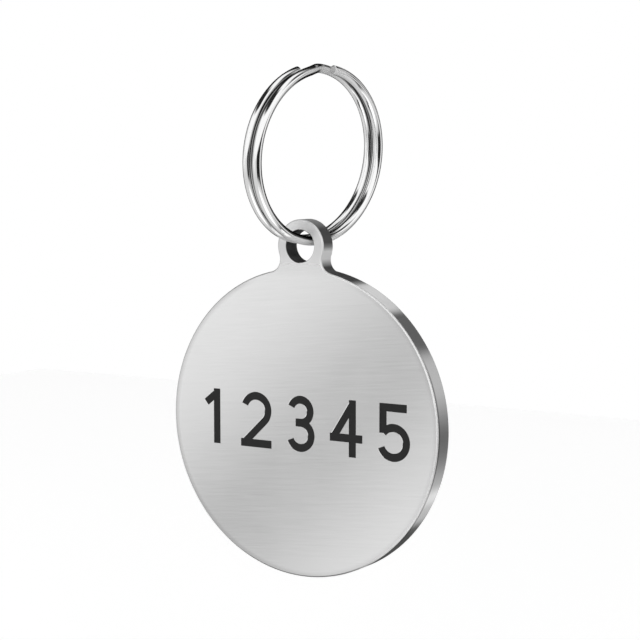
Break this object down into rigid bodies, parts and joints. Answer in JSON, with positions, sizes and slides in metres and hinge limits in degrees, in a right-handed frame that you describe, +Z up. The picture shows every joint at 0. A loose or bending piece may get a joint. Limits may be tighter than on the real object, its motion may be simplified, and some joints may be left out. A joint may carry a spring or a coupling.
{
  "type": "pet id tag",
  "caption": "Round steel identity tag with a drilled ear that hangs and swings from a split ring of round wire, with enamel-filled engraved figures on its face.",
  "frame": {"origin": "middle of the split ring's loop, on the ring's axis, half-way between its turns", "axes": "+Z up as the tag hangs, +Y from the tag's engraved face to its back, +X to the right of the face"},
  "size_m": [0.032, 0.0182, 0.0528],
  "materials": {
    "plate_steel": "fine hairlines across both faces, polished rim",
    "ring_wire": "bright drawn wire",
    "figure_enamel": "hard black enamel, slightly sunk"
  },
  "bodies": {
    "split_ring": {"split_ring": "ring_wire"},
    "tag": {"tag_plate": "plate_steel", "enamel_figure_1": "figure_enamel", "enamel_figure_2": "figure_enamel", "enamel_figure_3": "figure_enamel", "enamel_figure_4": "figure_enamel", "enamel_figure_5": "figure_enamel"}
  },
  "joints": [
    {"name": "tag_swing", "type": "hinge", "parent": "split_ring", "child": "tag", "pos_m": [-0.00102, -0.0002, -0.00927], "axis": [0, 1, 0], "range_deg": [-115, 128]}
  ]
}
